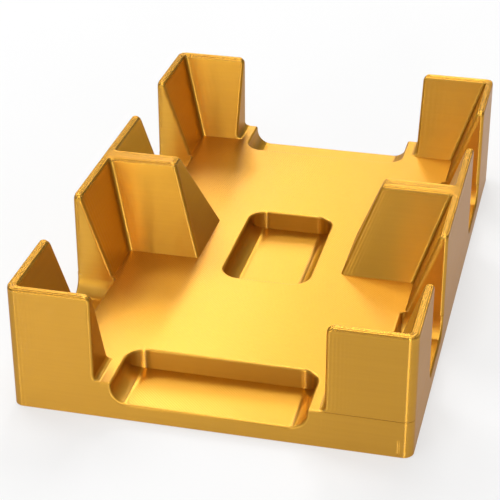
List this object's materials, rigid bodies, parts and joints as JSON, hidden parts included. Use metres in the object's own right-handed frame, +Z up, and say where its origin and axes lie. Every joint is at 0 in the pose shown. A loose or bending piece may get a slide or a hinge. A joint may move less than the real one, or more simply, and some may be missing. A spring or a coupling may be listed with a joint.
{
  "type": "playing card tray",
  "caption": "Open tray for playing cards: two wells side by side behind leaning corner walls, parted by low dividers, with finger scoops in every edge.",
  "frame": {"origin": "centre of the underside, on the surface that the tray stands on", "axes": "+X across the tray towards its right side, +Y along the tray from the front well to the back well, +Z up"},
  "size_m": [0.1174, 0.1832, 0.0394],
  "materials": {
    "silk_gold_plastic": "satin gold printed plastic with fine horizontal layer lines"
  },
  "bodies": {
    "root": {"base": "silk_gold_plastic", "front_left_corner_wall": "silk_gold_plastic", "front_right_corner_wall": "silk_gold_plastic", "back_left_corner_wall": "silk_gold_plastic", "back_right_corner_wall": "silk_gold_plastic", "left_divider_wall": "silk_gold_plastic", "right_divider_wall": "silk_gold_plastic"}
  },
  "joints": []
}
